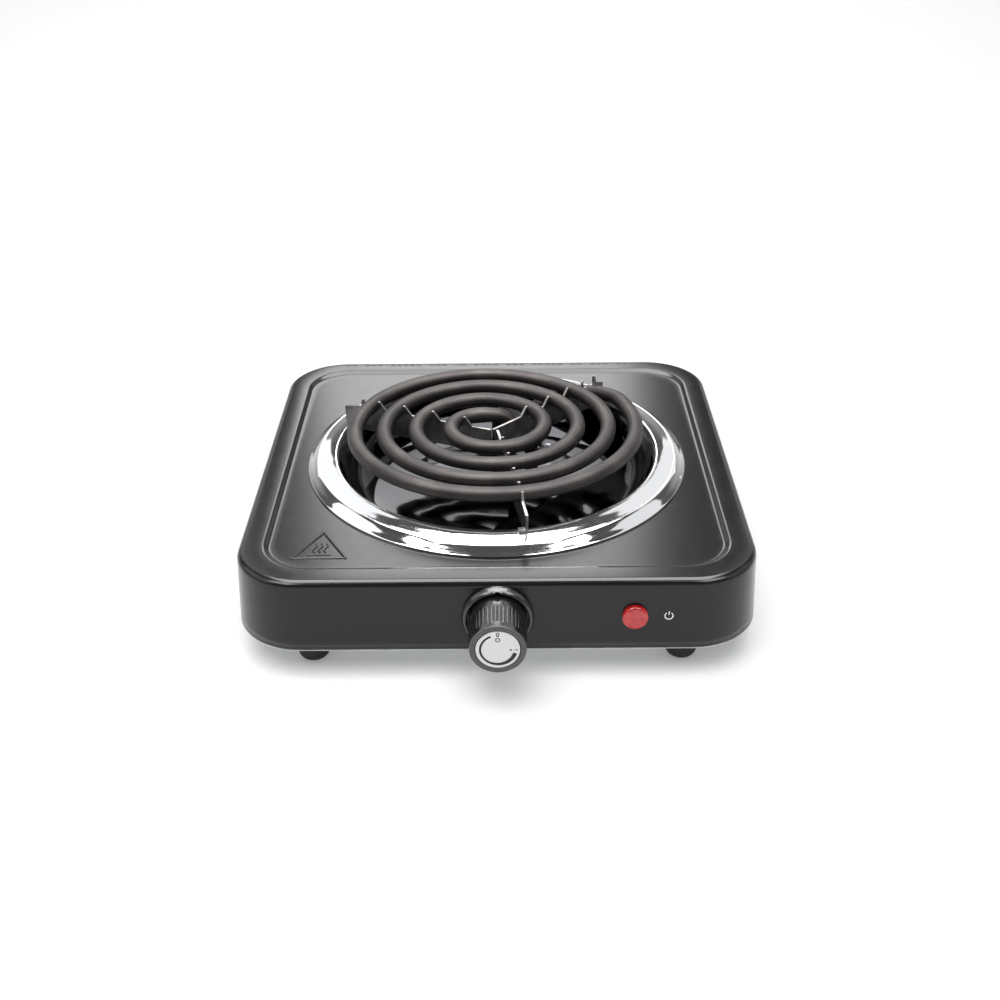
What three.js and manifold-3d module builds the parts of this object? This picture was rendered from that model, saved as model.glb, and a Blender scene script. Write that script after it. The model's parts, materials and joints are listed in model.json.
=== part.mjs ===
// Single-coil electric hot plate: a pressed steel body on four feet, a chromed drip bowl,
// a sheathed spiral heating coil on a three-armed support, and a dial thermostat in front.
// Millimetres, +Z up, -Y is the front. The floor is z = 0.
import * as THREE from 'three';
import { mergeVertices } from 'three/addons/utils/BufferGeometryUtils.js';
import Module from 'manifold-3d';

const wasm = await Module();
wasm.setup();

// ---- driving dimensions ----
const GAP = 0.3; // clearance between neighbouring pieces

const BODY_W = 230; // width at the top edge
const BODY_D = 225.3; // depth at the top edge
const CORNER_R = 30;
const FOOT_H = 16.1; // table to the bottom edge of the walls
const WALL_FLARE = 1.7; // how far each wall leans out by its bottom edge
const SHEET = 0.9; // body steel
const TOP_EDGE_R = 3;
const BORDER = 12.5; // border width around the sunken panel
const PANEL_DROP = 1.5;
const PANEL_R = 19;

const BASE_T = 1; // base plate steel
const BASE_LIP_H = 6;
const VENT_W = 3.5;
const VENT_L = 44;
const VENT_COUNT = 6;

const FOOT_R = 7.2;
const FOOT_SOLE_R = 4.6;
const FOOT_INSET_X = 32; // feet centres, from the top edge of the walls
const FOOT_INSET_Y = 16.65;
const FOOT_SCREW_R = 1.7;
const FOOT_SCREW_HEAD_R = 2.8;

const BOWL_Y = 1.5; // bowl centre, from the middle of the body
const RIM_R = 93.5;
const LIP_R = 78; // edge of the bowl's opening
const RIM_RISE = 4; // rim height above the deck border
const BOWL_DEPTH = 21.2; // floor of the bowl below the deck border
const BOWL_SHEET = 0.8;
const TERMINAL_ROOM = 11.9; // under the bowl, for the coil clamp, the terminals and the leads

const TUBE_R = 3.5; // coil sheath
const COIL_X = -3.6; // coil centre, from the middle of the body
const COIL_Y = 1;
const COIL_RISE = 15.3; // coil centre line above the deck border
const COIL_START_R = 74.5;
const COIL_PITCH = 12.55; // radius lost over the first turn
const COIL_PITCH_GROWTH = 0.745; // extra radius lost, per turn squared
const COIL_OVAL = 0.962; // depth of a turn as a share of its width
const COIL_START_AZ = 22; // where the level spiral begins, in degrees, turning clockwise
const COIL_END_AZ = 90;
const COIL_TURNS = 3.811; // from COIL_START_AZ to COIL_END_AZ

const HUB_X = -2; // where the support arms meet, from the middle of the body
const HUB_Y = -0.2;
const ARM_T = 1.2; // support steel
const ARM_H = 14;
const ARM_LENGTH = 81.5;
const ARM_SEAT = 1; // arms run this far below the coil's centre line
const ARM_TOOTH = 3.4; // teeth reach this far above it
const ARM_FOOT = 3; // foot that rests on the rim

const KNOB_X = 0.3;
const KNOB_OUT = 23.5; // knob face from the front wall
const KNOB_R = 12.7;
const KNOB_TAPER = 0.6;
const KNOB_RIM = 2.7; // rim of the face around the dial plate
const BEZEL_WALL = 3.1;
const BEZEL_TOP_MARGIN = 1.7; // from the deck border down to the bezel
const BEZEL_LOW_MARGIN = 0.6; // from the bezel down to the bottom edge of the wall
const BEZEL_OUT = 3.2;
const SHAFT_R = 3;
const BUSH_R = 4.2;

const LAMP_X = 59.4;
const LENS_R = 5.6;
const LENS_OUT = 2.6;

const GLAND_X = 62;
const GLAND_DROP = 20;
const GLAND_R = 8.5;
const GLAND_OUT = 7;
const GLAND_HOLE_R = 3.3;

const LEAD_R = 1.2;

// ---- sizes worked out from the driving dimensions ----
const KNOB_FACE_R = KNOB_R - KNOB_TAPER;
const DIAL_R = KNOB_FACE_R - KNOB_RIM;
const BEZEL_R = KNOB_R + BEZEL_WALL;
const BOWL_NEEDS = BOWL_DEPTH + BOWL_SHEET + TERMINAL_ROOM;
const BEZEL_NEEDS = 2 * BEZEL_R + BEZEL_TOP_MARGIN + BEZEL_LOW_MARGIN;
const SKIRT_H = Math.max(BOWL_NEEDS, BEZEL_NEEDS); // height of the walls
const SKIRT_Z = FOOT_H;
const DECK_Z = FOOT_H + SKIRT_H; // top of the border
const PANEL_Z = DECK_Z - PANEL_DROP;
const DIAL_Z = DECK_Z - BEZEL_TOP_MARGIN - BEZEL_R;
const COIL_Z = DECK_Z + COIL_RISE;
const BASE_TOP = SKIRT_Z - GAP;
const BOWL_FLOOR = DECK_Z - BOWL_DEPTH;
const BOWL_UNDER = BOWL_FLOOR - BOWL_SHEET;
const CLAMP_TOP = BOWL_UNDER - GAP;
const CLAMP_T = 1.2;
const LEG_END_Z = CLAMP_TOP - CLAMP_T - 1.4;
const BLOCK_Z = BASE_TOP + 2 * LEAD_R + 2; // underside of the terminal block
const GLAND_Z = DECK_Z - GLAND_DROP;
const FRONT_Y = -wallY(DIAL_Z); // outer face of the front wall at the dial
const INSIDE_Y = FRONT_Y + SHEET;
const BACK_Y = wallY(GLAND_Z);
const FOOT_X = BODY_W / 2 - FOOT_INSET_X;
const FOOT_Y = BODY_D / 2 - FOOT_INSET_Y;
const BODY_Y = (KNOB_OUT - FRONT_Y - GLAND_OUT - BACK_Y) / 2;

const FINISH = {
  paint: [0x2b2a2b, 0.38, 0.2],
  zinc: [0x9a9c9e, 0.45, 0.9],
  chrome: [0xd8dadc, 0.08, 1],
  sheath: [0x4d4845, 0.5, 0.6],
  steel: [0xb9b9b7, 0.35, 0.9],
  rubber: [0x1a1a1b, 0.8, 0],
  black: [0x1b1b1d, 0.3, 0],
  dial: [0xd4d5d7, 0.35, 0.3],
  red: [0xc8202a, 0.15, 0],
  ceramic: [0xd9d4c6, 0.7, 0],
  brass: [0xb08d4a, 0.35, 0.9],
  cable: [0xb9b4a8, 0.8, 0],
};

const burner = new THREE.Group();
burner.position.y = BODY_Y;

// Half the body's outer depth at height z.
function wallY(z) {
  return BODY_D / 2 + WALL_FLARE * (DECK_Z - z) / SKIRT_H;
}

// ---- building blocks ----
function solid(geometry) {
  const g = geometry.clone();
  g.deleteAttribute('normal');
  g.deleteAttribute('uv');
  const merged = mergeVertices(g, 1e-4);
  const triVerts = Uint32Array.from(merged.index.array);
  const vertProperties = Float32Array.from(merged.attributes.position.array);
  const made = new wasm.Manifold(new wasm.Mesh({ numProp: 3, vertProperties, triVerts }));
  if (made.volume() > 0) return made;
  for (let i = 0; i < triVerts.length; i += 3) {
    [triVerts[i], triVerts[i + 1]] = [triVerts[i + 1], triVerts[i]];
  }
  return new wasm.Manifold(new wasm.Mesh({ numProp: 3, vertProperties, triVerts }));
}

function union(...parts) {
  return parts.reduce((a, b) => a.add(b));
}

function node(name, made, finish) {
  const mesh = made.getMesh();
  const geometry = new THREE.BufferGeometry();
  geometry.setAttribute('position', new THREE.BufferAttribute(mesh.vertProperties, 3));
  geometry.setIndex(new THREE.BufferAttribute(mesh.triVerts, 1));
  const [color, roughness, metalness] = FINISH[finish];
  const material = new THREE.MeshStandardMaterial({ color, roughness, metalness });
  const object = new THREE.Mesh(geometry, material);
  object.name = name;
  burner.add(object);
}

// A box from its lowest corner to its highest.
function box(x0, y0, z0, x1, y1, z1) {
  const g = new THREE.BoxGeometry(x1 - x0, y1 - y0, z1 - z0);
  return solid(g.translate((x0 + x1) / 2, (y0 + y1) / 2, (z0 + z1) / 2));
}

// A solid turned about +Z through (x, y); its outline is a list of [radius, height].
function turned(outline, x, y, segments = 32) {
  const points = outline.map(([r, z]) => new THREE.Vector2(r, z));
  const g = new THREE.LatheGeometry(points, segments);
  return solid(g.rotateX(Math.PI / 2).translate(x, y, 0));
}

// A solid turned about an axis along Y through (x, z); its outline is [radius, y].
function turnedY(outline, x, z, segments = 32) {
  const points = outline.map(([r, y]) => new THREE.Vector2(r, y));
  return solid(new THREE.LatheGeometry(points, segments).translate(x, 0, z));
}

// A ring's closed outline between two radii and two heights.
function ringOutline(inner, outer, low, high) {
  return [[inner, low], [outer, low], [outer, high], [inner, high], [inner, low]];
}

function rodOutline(r, low, high) {
  return [[0, low], [r, low], [r, high], [0, high]];
}

function roundedRect(w, d, r) {
  const [x, y] = [w / 2 - r, d / 2 - r];
  const shape = new THREE.Shape();
  shape.absarc(x, y, r, 0, Math.PI / 2);
  shape.absarc(-x, y, r, Math.PI / 2, Math.PI);
  shape.absarc(-x, -y, r, Math.PI, Math.PI * 1.5);
  shape.absarc(x, -y, r, Math.PI * 1.5, Math.PI * 2);
  return shape;
}

// An upright plate with the outline of a rounded rectangle.
function slab(w, d, r, z0, z1) {
  const options = { depth: z1 - z0, bevelEnabled: false, curveSegments: 6 };
  return solid(new THREE.ExtrudeGeometry(roundedRect(w, d, r), options).translate(0, 0, z0));
}

// The body's outer shape, shrunk by inset: rounded top edge and walls that lean out.
function bodyBlock(inset) {
  const edge = TOP_EDGE_R - Math.min(inset, TOP_EDGE_R / 2);
  const shape = roundedRect(BODY_W - 2 * inset, BODY_D - 2 * inset, CORNER_R - inset);
  const options = {
    depth: SKIRT_H + 2, bevelThickness: edge, bevelSize: edge,
    bevelOffset: -edge, bevelSegments: 3, curveSegments: 6,
  };
  const g = new THREE.ExtrudeGeometry(shape, options);
  g.translate(0, 0, DECK_Z - inset - SKIRT_H - 2 - edge);
  const p = g.attributes.position;
  for (let i = 0; i < p.count; i += 1) {
    const lean = WALL_FLARE * (DECK_Z - p.getZ(i)) / SKIRT_H;
    p.setX(i, p.getX(i) * (1 + lean / (BODY_W / 2)));
    p.setY(i, p.getY(i) * (1 + lean / (BODY_D / 2)));
  }
  return solid(g);
}

// A round tube along a list of points, smoothed unless it is told to stay as given.
function tube(points, radius, sides, steps) {
  const path = new THREE.CatmullRomCurve3(points, false, 'centripetal');
  path.arcLengthDivisions = 20 * points.length;
  const section = new THREE.Shape();
  for (let i = 0; i < sides; i += 1) {
    const a = 2 * Math.PI * i / sides;
    const [u, v] = [radius * Math.cos(a), radius * Math.sin(a)];
    if (i === 0) section.moveTo(u, v);
    else section.lineTo(u, v);
  }
  const options = { steps, extrudePath: path, bevelEnabled: false };
  return solid(new THREE.ExtrudeGeometry(section, options));
}

// ---- body ----
function bodyShell() {
  const below = box(-BODY_W, -BODY_D, -50, BODY_W, BODY_D, SKIRT_Z);
  const panelW = BODY_W - 2 * BORDER;
  const panelD = BODY_D - 2 * BORDER;
  const pan = slab(panelW + 2 * SHEET, panelD + 2 * SHEET, PANEL_R + SHEET, PANEL_Z - SHEET, DECK_Z - SHEET / 2);
  const recess = slab(panelW, panelD, PANEL_R, PANEL_Z, DECK_Z + 1);
  const opening = turned(rodOutline(LIP_R + 6, PANEL_Z - 5, DECK_Z + 1), 0, BOWL_Y, 48);
  const bushHole = turnedY(rodOutline(BUSH_R + GAP, FRONT_Y - 5, FRONT_Y + 5), KNOB_X, DIAL_Z, 16);
  const lampHole = turnedY(rodOutline(LENS_R - 0.6, FRONT_Y - 5, FRONT_Y + 5), LAMP_X, DIAL_Z, 16);
  const glandHole = turnedY(rodOutline(GLAND_R - 2, BACK_Y - 5, BACK_Y + 5), GLAND_X, GLAND_Z, 16);
  const shell = bodyBlock(0).subtract(below).subtract(bodyBlock(SHEET)).add(pan).subtract(recess);
  node('body_shell', shell.subtract(union(opening, bushHole, lampHole, glandHole)), 'paint');
}

function basePlate() {
  const [w, d] = [BODY_W + 2 * WALL_FLARE - 2, BODY_D + 2 * WALL_FLARE - 2];
  const lipInset = 3;
  const [lipW, lipD, lipR] = [w - 2 * lipInset, d - 2 * lipInset, CORNER_R - lipInset];
  const lipTop = BASE_TOP + BASE_LIP_H;
  const lip = slab(lipW, lipD, lipR, BASE_TOP - BASE_T / 2, lipTop)
    .subtract(slab(lipW - 2 * BASE_T, lipD - 2 * BASE_T, lipR - BASE_T, BASE_TOP - BASE_T, lipTop + 1));
  let plate = slab(w, d, CORNER_R, BASE_TOP - BASE_T, BASE_TOP).add(lip);
  for (const [x, y] of footCentres()) {
    plate = plate.subtract(turned(rodOutline(FOOT_SCREW_R + GAP, 0, DECK_Z), x, y, 12));
  }
  for (const side of [-1, 1]) {
    for (let i = 0; i < VENT_COUNT; i += 1) {
      const y = (i - (VENT_COUNT - 1) / 2) * VENT_W * 3;
      const x = side * (VENT_L / 2 + 12);
      plate = plate.subtract(
        box(x - VENT_L / 2, y - VENT_W / 2, 0, x + VENT_L / 2, y + VENT_W / 2, DECK_Z));
    }
  }
  node('base_plate', plate, 'zinc');
}

function footCentres() {
  return [[-FOOT_X, -FOOT_Y], [FOOT_X, -FOOT_Y], [-FOOT_X, FOOT_Y], [FOOT_X, FOOT_Y]];
}

// Rubber feet, the screws through them, and the tabs inside the walls that the screws grip.
function feet() {
  const top = BASE_TOP - BASE_T - GAP;
  const seat = 5; // the screw head sits this far up inside the foot
  const bore = FOOT_SCREW_R + GAP;
  const well = FOOT_SCREW_HEAD_R + GAP;
  const bulb = [[well, 0], [FOOT_SOLE_R, 0], [FOOT_R - 0.9, 1.7], [FOOT_R, 4.5], [FOOT_R + 0.4, top]];
  const foot = [...bulb, [bore, top], [bore, seat], [well, seat], [well, 0]];
  const tabLow = BASE_TOP + GAP;
  const tabTop = tabLow + 2;
  const headLow = seat - GAP - 1.8;
  const screw = [
    [0, headLow], [FOOT_SCREW_HEAD_R, headLow], [FOOT_SCREW_HEAD_R, seat - GAP],
    [FOOT_SCREW_R, seat - GAP], [FOOT_SCREW_R, tabTop + 2], [0, tabTop + 2],
  ];
  const names = ['front_left', 'front_right', 'rear_left', 'rear_right'];
  footCentres().forEach(([x, y], i) => {
    node(`foot_${names[i]}`, turned(foot, x, y, 20), 'rubber');
    node(`foot_screw_${names[i]}`, turned(screw, x, y, 12), 'zinc');
    const side = Math.sign(y);
    const wall = side * (BODY_D / 2 + WALL_FLARE - 4 - BASE_T - GAP);
    const [inner, leg] = [y - side * 6, wall - side * 1.5];
    const hole = turned(rodOutline(bore, 0, DECK_Z), x, y, 12);
    const tongue = box(x - 6, Math.min(wall, inner), tabLow, x + 6, Math.max(wall, inner), tabTop);
    const upright = box(x - 6, Math.min(wall, leg), tabLow, x + 6, Math.max(wall, leg), tabLow + 15);
    node(`corner_tab_${names[i]}`, tongue.add(upright).subtract(hole), 'zinc');
  });
}

// ---- drip bowl ----
// The bowl's upper surface from the rim's outer edge to the middle: [radius, height over the deck].
function bowlSurface() {
  return [
    [RIM_R, -PANEL_DROP + GAP], [RIM_R - 1.4, 0.6], [RIM_R - 3, RIM_RISE - 1.9], [RIM_R - 4.5, RIM_RISE - 0.7],
    [RIM_R - 5.6, RIM_RISE - 0.7], [RIM_R - 7, RIM_RISE], [LIP_R + 4, RIM_RISE - 0.3], [LIP_R + 1.4, RIM_RISE],
    [LIP_R, RIM_RISE - 1.4], [LIP_R - 1.6, -3], [LIP_R - 4, -9], [LIP_R - 8, -14.5],
    [LIP_R - 14, -BOWL_DEPTH + 2.6], [LIP_R - 22, -BOWL_DEPTH + 0.6], [LIP_R - 32, -BOWL_DEPTH], [0, -BOWL_DEPTH],
  ];
}

// The same line moved down and out by the sheet, which leaves a wall of even thickness.
function bowlUnderside() {
  const top = bowlSurface();
  return top.map(([r, z], i) => {
    const [r0, z0] = top[Math.max(i - 1, 0)];
    const [r1, z1] = top[Math.min(i + 1, top.length - 1)];
    const length = Math.hypot(r1 - r0, z1 - z0);
    const flat = i === 0 || i === top.length - 1;
    const out = flat ? [i === 0 ? -1 : 0, i === 0 ? 0 : -1] : [-(z1 - z0) / length, (r1 - r0) / length];
    return [r + BOWL_SHEET * out[0], z + BOWL_SHEET * out[1]];
  });
}

function dripBowl(cutters) {
  const outline = [...bowlSurface().reverse(), ...bowlUnderside()];
  const lifted = outline.map(([r, z]) => [r, z + DECK_Z]);
  let bowl = turned(lifted, 0, BOWL_Y, 48);
  for (const cutter of cutters) bowl = bowl.subtract(cutter);
  node('drip_bowl', bowl, 'chrome');
}

// Spring clips that hold the bowl down on the deck's underside.
function bowlClips() {
  const top = PANEL_Z - SHEET - GAP;
  const t = 1.2;
  const outer = LIP_R + 12;
  const leg = LIP_R + 1;
  const foot = LIP_R - 2.6;
  const low = DECK_Z - 9.6;
  const outline = [
    [foot, low], [leg + t, low], [leg + t, top - t], [outer, top - t],
    [outer, top], [leg, top], [leg, low + t], [foot, low + t],
  ];
  const shape = new THREE.Shape(outline.map(([r, z]) => new THREE.Vector2(r, z)));
  [30, 150, 270].forEach((az, i) => {
    const g = new THREE.ExtrudeGeometry(shape, { depth: 10, bevelEnabled: false });
    g.rotateX(Math.PI / 2).translate(0, 5, 0).rotateZ(az * Math.PI / 180).translate(0, BOWL_Y, 0);
    node(`bowl_clip_${i + 1}`, solid(g), 'steel');
  });
}

// ---- heating coil ----
function polar(az, r, z) {
  const a = az * Math.PI / 180;
  const oval = COIL_OVAL;
  return new THREE.Vector3(COIL_X + r * Math.cos(a), COIL_Y + oval * r * Math.sin(a), COIL_Z + z);
}

// Radius of the spiral after some turns.
function spiralRadius(turns) {
  return COIL_START_R - COIL_PITCH * turns - COIL_PITCH_GROWTH * turns * turns;
}

// The outer leg climbs from the terminals, the level spiral winds in, the inner leg dives back.
function coilPath() {
  const before = (60 - COIL_START_AZ) / 360;
  const points = [
    polar(66, 55, LEG_END_Z - COIL_Z), polar(66, 55, -27), polar(65.5, 56, -17), polar(61, 62, -10.5),
    polar(53, 68.5, -7.2), polar(44, 71.8, -4.4), polar(33, spiralRadius(before) + 0.3, -1.6),
  ];
  const perTurn = 20;
  const count = Math.round(COIL_TURNS * perTurn);
  for (let i = 0; i <= count; i += 1) {
    const turns = COIL_TURNS * i / count;
    points.push(polar(COIL_START_AZ - 360 * turns, spiralRadius(before + turns), 0));
  }
  const [x, y] = [COIL_X, COIL_Y];
  points.push(new THREE.Vector3(x + 6.5, y + 14, COIL_Z - 1.2));
  points.push(new THREE.Vector3(x + 11.5, y + 15.5, COIL_Z - 5.2));
  points.push(new THREE.Vector3(x + 13, y + 21, COIL_Z - 9));
  points.push(new THREE.Vector3(x + 12, y + 33, COIL_Z - 10.5));
  points.push(new THREE.Vector3(x + 7.5, y + 43, COIL_Z - 13));
  points.push(new THREE.Vector3(x + 5, y + 47.5, COIL_Z - 20));
  points.push(new THREE.Vector3(x + 5, y + 48, COIL_Z - 28));
  points.push(new THREE.Vector3(x + 5, y + 48, LEG_END_Z));
  return points;
}

function coilTube(extra) {
  return tube(coilPath(), TUBE_R + extra, 8, 150);
}

function legFeet() {
  const path = coilPath();
  return [path[0], path[path.length - 1]];
}

// ---- coil support ----
// Distances from the hub, nearest first, at which the coil crosses an arm's line.
function crossings(az, aside) {
  const a = az * Math.PI / 180;
  const path = new THREE.CatmullRomCurve3(coilPath(), false, 'centripetal').getPoints(1500);
  const along = path.map((v) => {
    const [dx, dy] = [v.x - HUB_X, v.y - HUB_Y];
    return { s: dx * Math.cos(a) + dy * Math.sin(a), off: dy * Math.cos(a) - dx * Math.sin(a) - aside, z: v.z };
  });
  const found = [];
  for (let i = 1; i < along.length; i += 1) {
    const [p, q] = [along[i - 1], along[i]];
    if (p.off * q.off > 0 || p.s < 0 || p.z < COIL_Z - TUBE_R * 2) continue;
    found.push(p.s + p.off / (p.off - q.off) * (q.s - p.s));
  }
  return found.sort((m, n) => m - n);
}

// How far from the hub the bowl's lip lies along a ray.
function lipDistance(az) {
  const a = az * Math.PI / 180;
  const along = HUB_X * Math.cos(a) + (HUB_Y - BOWL_Y) * Math.sin(a);
  const across = HUB_X * Math.sin(a) - (HUB_Y - BOWL_Y) * Math.cos(a);
  return Math.sqrt(LIP_R ** 2 - across ** 2) - along;
}

// The side view of an arm: a strip on edge with a tooth beside each turn it carries.
function armOutline(turns, lip) {
  const low = COIL_Z - ARM_H;
  const seat = COIL_Z - ARM_SEAT;
  const tip = COIL_Z + ARM_TOOTH;
  const rest = DECK_Z + RIM_RISE + GAP;
  const hubEnd = 0.7;
  const outside = turns[turns.length - 1] + TUBE_R + 0.5;
  const outline = [
    [hubEnd, low], [lip - 3, low], [lip - 1.2, rest], [ARM_LENGTH, rest], [ARM_LENGTH, COIL_Z - 2.2],
    [outside + 2, COIL_Z - 0.6], [outside + 0.9, tip], [outside, tip], [outside, seat],
  ];
  for (const s of [...turns].reverse()) {
    const side = s - TUBE_R - 0.5;
    if (side - 4.5 > hubEnd) {
      outline.push([side, seat], [side, tip], [side - 0.9, tip], [side - 4.5, seat]);
    }
  }
  outline.push([hubEnd, seat]);
  return outline;
}

// An arm runs out from the hub at an azimuth; aside moves its line to its left.
function supportArm(name, az, aside, cutter) {
  const rest = DECK_Z + RIM_RISE + GAP;
  const outline = armOutline(crossings(az, aside), lipDistance(az));
  const shape = new THREE.Shape(outline.map(([s, z]) => new THREE.Vector2(s, z)));
  const g = new THREE.ExtrudeGeometry(shape, { depth: ARM_T, bevelEnabled: false });
  g.rotateX(Math.PI / 2).translate(0, ARM_T / 2, 0);
  const foot = box(ARM_LENGTH - ARM_FOOT, -ARM_T / 2 - ARM_FOOT, rest, ARM_LENGTH, ARM_T / 2, rest + ARM_T);
  const made = solid(g).add(foot).translate([0, aside, 0]);
  node(name, made.rotate([0, 0, az]).translate([HUB_X, HUB_Y, 0]).subtract(cutter), 'steel');
}

// ---- coil connections under the bowl ----
function coilClamp(legCutter) {
  const [a, b] = legFeet();
  const [cx, cy] = [(a.x + b.x) / 2, (a.y + b.y) / 2];
  const reach = Math.abs(a.x - b.x) / 2 + 13;
  const low = CLAMP_TOP - CLAMP_T;
  let plate = box(cx - reach, cy - 8, low, cx + reach, cy + 8, CLAMP_TOP).subtract(legCutter);
  const holes = [];
  [-1, 1].forEach((side, i) => {
    const x = cx + side * (reach - 4);
    holes.push(turned(rodOutline(1.5 + GAP, low - 1, BOWL_FLOOR + 1), x, cy, 12));
    const screw = [[0, low - 2], [3, low - 2], [3, low - GAP], [1.5, low - GAP],
      [1.5, BOWL_FLOOR + 0.8], [0, BOWL_FLOOR + 0.8]];
    node(`clamp_screw_${i + 1}`, turned(screw, x, cy, 12), 'zinc');
  });
  for (const hole of holes) plate = plate.subtract(hole);
  node('coil_clamp', plate, 'steel');
  return holes;
}

function terminals() {
  const [a, b] = legFeet();
  const [cx, cy] = [(a.x + b.x) / 2, (a.y + b.y) / 2];
  const reach = Math.abs(a.x - b.x) / 2 + 5.5;
  const top = LEG_END_Z - 1.2;
  const low = BLOCK_Z;
  let block = box(cx - reach, cy - 6.5, low, cx + reach, cy + 6.5, top);
  [b, a].forEach((leg, i) => {
    block = block.subtract(turned(rodOutline(1.1 + GAP, 0, DECK_Z), leg.x, leg.y, 12));
    const head = low - GAP;
    const pin = [[0, head - 1.4], [2.6, head - 1.4], [2.6, head], [1.1, head],
      [1.1, LEG_END_Z - GAP], [0, LEG_END_Z - GAP]];
    node(`coil_terminal_${i + 1}`, turned(pin, leg.x, leg.y, 12), 'brass');
  });
  node('terminal_block', block, 'ceramic');
}

// ---- thermostat ----
const BRACKET_Y = INSIDE_Y + GAP + 0.3;
const SHAFT_TIP_Y = BRACKET_Y + 5;
const SPRING_Y = SHAFT_TIP_Y + 6.6; // moving contact blade
const LEAF_Y = SPRING_Y + 2.6; // fixed contact blade
const BIMETAL_Y = LEAF_Y + 3.4;
const BLADE_T = 0.5;
const STACK_X = -15; // the blades come out of the stack here
const BLADE_END_X = 10;

function blade(name, y, width, rivet, finish) {
  const root = KNOB_X + STACK_X - 3;
  const end = KNOB_X + BLADE_END_X;
  let made = box(root, y, DIAL_Z - width / 2, end, y + BLADE_T, DIAL_Z + width / 2);
  if (rivet) {
    const [from, to] = rivet;
    made = made.add(turnedY(rodOutline(1.6, from, to), end - 3, DIAL_Z, 12));
  }
  node(name, made, finish);
}

function thermostat() {
  const t = 1.4;
  const bushing = turnedY(ringOutline(SHAFT_R + GAP, BUSH_R, FRONT_Y - 3.4, BRACKET_Y + t), KNOB_X, DIAL_Z, 20);
  const bore = turnedY(rodOutline(SHAFT_R + GAP, FRONT_Y - 4, BRACKET_Y + t + 1), KNOB_X, DIAL_Z, 20);
  const left = KNOB_X + STACK_X - 10;
  const plate = box(left, BRACKET_Y, DIAL_Z - 9, KNOB_X + 12, BRACKET_Y + t, DIAL_Z + 9);
  const stackEnd = BIMETAL_Y + 4;
  const arm = box(left, BRACKET_Y, DIAL_Z - 9, left + t, stackEnd, DIAL_Z + 9);
  node('thermostat_bracket', plate.add(arm).subtract(bore).add(bushing), 'zinc');

  const stackLeft = left + t + GAP;
  const stackRight = KNOB_X + STACK_X;
  let stack = box(stackLeft, BRACKET_Y + t + GAP, DIAL_Z - 5.5, stackRight, stackEnd, DIAL_Z + 5.5);
  for (const y of [SPRING_Y, LEAF_Y, BIMETAL_Y]) {
    stack = stack.subtract(
      box(stackRight - 3 - GAP, y - GAP, DIAL_Z - 3 - GAP, stackRight + 1, y + BLADE_T + GAP, DIAL_Z + 3 + GAP));
  }
  node('thermostat_stack', stack, 'ceramic');
  blade('contact_spring', SPRING_Y, 5, [SPRING_Y + 0.1, SPRING_Y + BLADE_T + 0.3], 'brass');
  blade('contact_leaf', LEAF_Y, 5, [LEAF_Y - 0.3, LEAF_Y + 0.2], 'brass');
  blade('bimetal_strip', BIMETAL_Y, 6, null, 'steel');

  const shaft = rodOutline(SHAFT_R, FRONT_Y - KNOB_OUT + 6.5, SHAFT_TIP_Y);
  const socket = turnedY(rodOutline(1.5 + GAP, SHAFT_TIP_Y - 3, SHAFT_TIP_Y + 1), KNOB_X, DIAL_Z, 12);
  node('thermostat_shaft', turnedY(shaft, KNOB_X, DIAL_Z, 20).subtract(socket), 'zinc');
  const screw = rodOutline(1.5, SHAFT_TIP_Y - 2.4, SPRING_Y - GAP);
  node('adjusting_screw', turnedY(screw, KNOB_X, DIAL_Z, 12), 'brass');
  const [nutFront, nutBack] = [FRONT_Y - 3, FRONT_Y - 0.7];
  const nut = turnedY(rodOutline(6.6, nutFront, nutBack), KNOB_X, DIAL_Z, 6);
  const thread = turnedY(rodOutline(BUSH_R + GAP, nutFront - 1, nutBack + 1), KNOB_X, DIAL_Z, 20);
  node('shaft_nut', nut.subtract(thread), 'zinc');
}

// ---- dial knob ----
function knob() {
  const out = (d) => FRONT_Y - d; // distance in front of the wall
  const face = KNOB_OUT;
  const dish = 0.9; // the dial plate sits this far below the rim
  const bore = SHAFT_R + GAP;
  const start = 1.3; // the barrel starts this far from the wall, inside the bezel
  const flutes = 8.6; // and its flutes start here
  const outline = [
    [0, out(face - 6)], [bore, out(face - 6)], [bore, out(4.6)], [bore + 2, out(4.6)],
    [bore + 2, out(face - 5)], [KNOB_R - 3, out(face - 5)], [KNOB_R - 2, out(start)], [KNOB_R, out(start)],
    [KNOB_R, out(flutes)], [KNOB_FACE_R, out(face - 1.2)], [KNOB_FACE_R - 1, out(face)],
    [DIAL_R + GAP, out(face)], [DIAL_R + GAP, out(face - dish)], [0, out(face - dish)],
  ];
  const body = turnedY(outline, KNOB_X, DIAL_Z, 36);
  node('knob', body, 'black');
  node('dial_plate', turnedY(rodOutline(DIAL_R, out(face - dish + GAP + 0.5), out(face - dish + GAP)),
    KNOB_X, DIAL_Z, 36), 'dial');
}

function knobBezel() {
  const out = (d) => FRONT_Y - d;
  const inner = KNOB_R + 0.6;
  const outline = [
    [inner, out(-1.5)], [BEZEL_R, out(-1.5)], [BEZEL_R, out(1)], [BEZEL_R - 1.3, out(BEZEL_OUT)],
    [inner, out(BEZEL_OUT)], [inner, out(-1.5)],
  ];
  node('knob_bezel', turnedY(outline, KNOB_X, DIAL_Z, 36).subtract(bodyBlock(-GAP)), 'black');
}

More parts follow.
